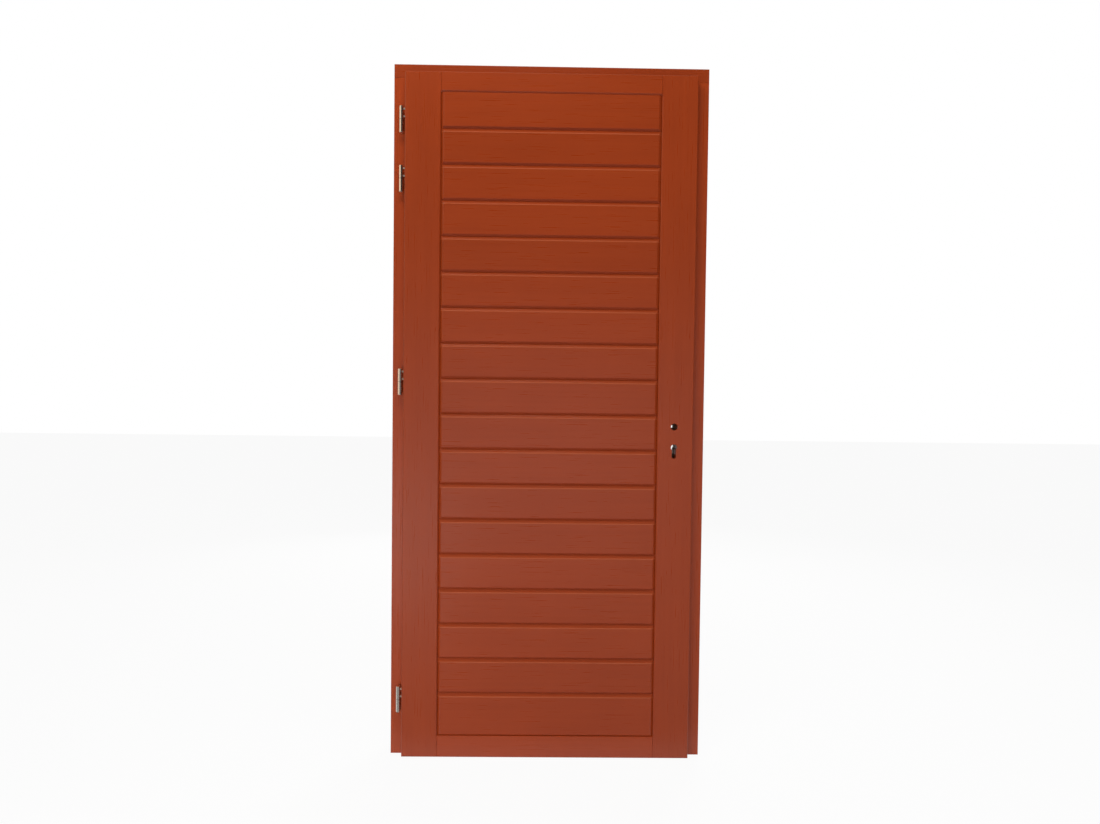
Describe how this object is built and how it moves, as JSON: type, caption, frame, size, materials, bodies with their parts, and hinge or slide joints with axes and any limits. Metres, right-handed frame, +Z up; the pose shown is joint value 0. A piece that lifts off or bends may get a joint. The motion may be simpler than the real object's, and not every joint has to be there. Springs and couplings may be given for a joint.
{
  "type": "wooden front door",
  "caption": "Lipped wooden front door leaf of level tongued boards between stiles and rails, hung on knuckle hinges in a timber frame, bored for a lever handle and a key cylinder.",
  "frame": {"origin": "on the outer face of the hinge jamb, at floor level, in the middle of the frame's depth", "axes": "+X from the hinge side to the lock side, +Z up, -Y out of the pull side that the picture shows"},
  "size_m": [0.95, 0.098, 2.1],
  "materials": {
    "frame_wood": "satin red-brown stain",
    "leaf_wood": "satin red-brown stain",
    "board_wood": "satin red-brown stain",
    "hinge_metal": "nickel-plated, satin",
    "lock_metal": "zinc-plated steel"
  },
  "bodies": {
    "frame": {"hinge_jamb": "frame_wood", "lock_jamb": "frame_wood", "frame_head": "frame_wood", "threshold": "frame_wood", "strike_plate": "lock_metal", "hinge_frame_1": "hinge_metal", "hinge_frame_2": "hinge_metal", "hinge_frame_3": "hinge_metal", "hinge_frame_4": "hinge_metal"},
    "leaf": {"hinge_stile": "leaf_wood", "lock_stile": "leaf_wood", "top_rail": "leaf_wood", "bottom_rail": "leaf_wood", "board_01": "board_wood", "board_02": "board_wood", "board_03": "board_wood", "board_04": "board_wood", "board_05": "board_wood", "board_06": "board_wood", "board_07": "board_wood", "board_08": "board_wood", "board_09": "board_wood", "board_10": "board_wood", "board_11": "board_wood", "board_12": "board_wood", "board_13": "board_wood", "board_14": "board_wood", "board_15": "board_wood", "board_16": "board_wood", "board_17": "board_wood", "board_18": "board_wood", "hinge_leaf_1": "hinge_metal", "hinge_leaf_2": "hinge_metal", "hinge_leaf_3": "hinge_metal", "hinge_leaf_4": "hinge_metal", "lock_case": "lock_metal", "lock_follower": "lock_metal", "lock_forend": "lock_metal", "latch_bolt": "lock_metal", "dead_bolt": "lock_metal"}
  },
  "joints": [
    {"name": "leaf_swing", "type": "hinge", "parent": "frame", "child": "leaf", "pos_m": [0.026, -0.0515, 1], "axis": [0, 0, -1], "range_deg": [0, 170]}
  ]
}
